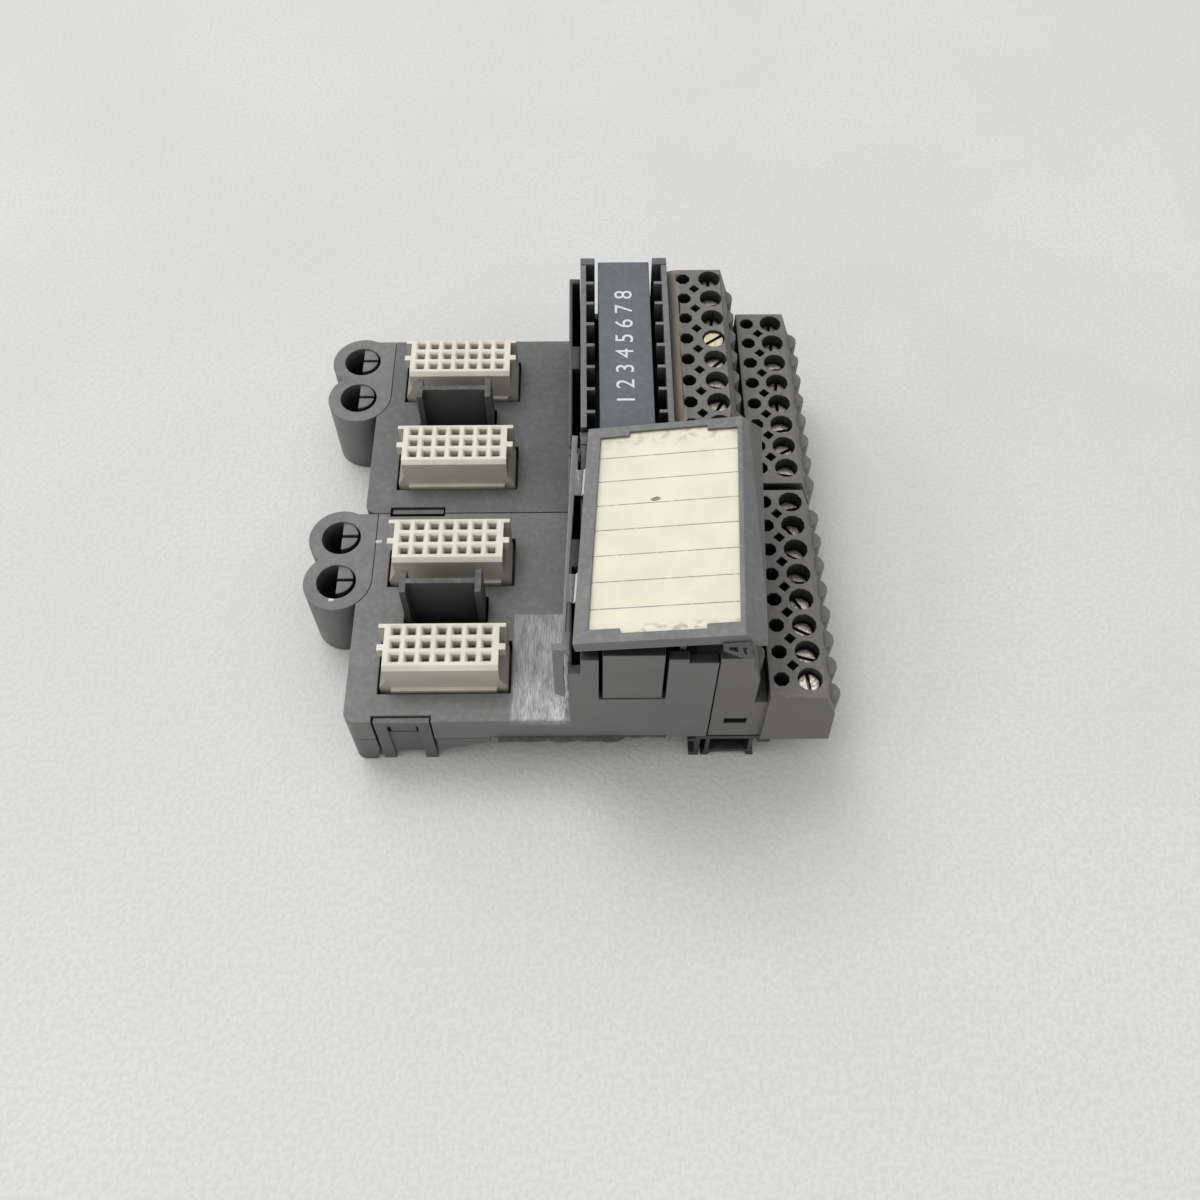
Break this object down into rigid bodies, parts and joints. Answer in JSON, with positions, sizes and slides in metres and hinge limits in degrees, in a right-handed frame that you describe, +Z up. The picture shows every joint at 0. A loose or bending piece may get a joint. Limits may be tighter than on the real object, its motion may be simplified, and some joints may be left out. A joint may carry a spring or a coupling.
{
  "type": "terminal block",
  "caption": "Rail-mounted terminal base of two side-by-side slices with ivory plug-in sockets, cam towers, a wire duct, stepped screw terminals and a hinged label cover.",
  "frame": {"origin": "middle of the footprint, on the floor that the feet stand on", "axes": "+X across the rail towards the screw terminals, +Y along the rail away from the camera, +Z up"},
  "size_m": [0.0919, 0.087, 0.045],
  "materials": {
    "grey_plastic": "matt moulded grey, scuffed",
    "dark_plastic": "matt moulded charcoal, worn light on its edges",
    "block_plastic": "matt moulded dark grey, dusty",
    "bar_plastic": "matt moulded blue grey",
    "ivory_plastic": "satin ivory moulding",
    "card": "cream printed card, stained",
    "board": "green solder mask",
    "tin": "tin-plated spring metal",
    "plated_steel": "zinc-plated steel",
    "screw_steel": "dull plated steel, one brassy",
    "copper_alloy": "tinned copper alloy"
  },
  "bodies": {
    "base": {"housing_near": "grey_plastic", "wire_duct_near": "grey_plastic", "base_pan_near": "grey_plastic", "bolt_tower_near": "grey_plastic", "latch_post_near": "dark_plastic", "side_latch_near": "grey_plastic", "circuit_board_near": "board", "front_receptacle_near": "ivory_plastic", "rear_receptacle_near": "ivory_plastic", "front_contacts_near": "tin", "rear_contacts_near": "tin", "terminal_block_near": "block_plastic", "upper_clamps_near": "plated_steel", "lower_clamps_near": "plated_steel", "upper_screws_near": "screw_steel", "lower_screws_near": "screw_steel", "links_near": "copper_alloy", "marker_bar_near": "bar_plastic", "housing_far": "grey_plastic", "wire_duct_far": "grey_plastic", "base_pan_far": "grey_plastic", "bolt_tower_far": "grey_plastic", "latch_post_far": "dark_plastic", "side_latch_far": "grey_plastic", "circuit_board_far": "board", "front_receptacle_far": "ivory_plastic", "rear_receptacle_far": "ivory_plastic", "front_contacts_far": "tin", "rear_contacts_far": "tin", "terminal_block_far": "block_plastic", "upper_clamps_far": "plated_steel", "lower_clamps_far": "plated_steel", "upper_screws_far": "screw_steel", "lower_screws_far": "screw_steel", "links_far": "copper_alloy", "marker_bar_far": "bar_plastic", "cover_hinge_rail": "dark_plastic"},
    "cover": {"marker_cover": "grey_plastic", "legend_card": "card"},
    "latch_near": {"rail_latch_near": "dark_plastic"},
    "latch_far": {"rail_latch_far": "dark_plastic"}
  },
  "joints": [
    {"name": "cover_hinge", "type": "hinge", "parent": "base", "child": "cover", "pos_m": [0.00316, -0.0211, 0.03777], "axis": [-0.0606, -0.9971, 0.0454], "range_deg": [0, 95]},
    {"name": "latch_slide_near", "type": "slide", "parent": "base", "child": "latch_near", "axis": [1, 0, 0], "range_m": [0, 0.003], "stiffness_N_per_m": 800},
    {"name": "latch_slide_far", "type": "slide", "parent": "base", "child": "latch_far", "axis": [1, 0, 0], "range_m": [0, 0.003], "stiffness_N_per_m": 800}
  ]
}
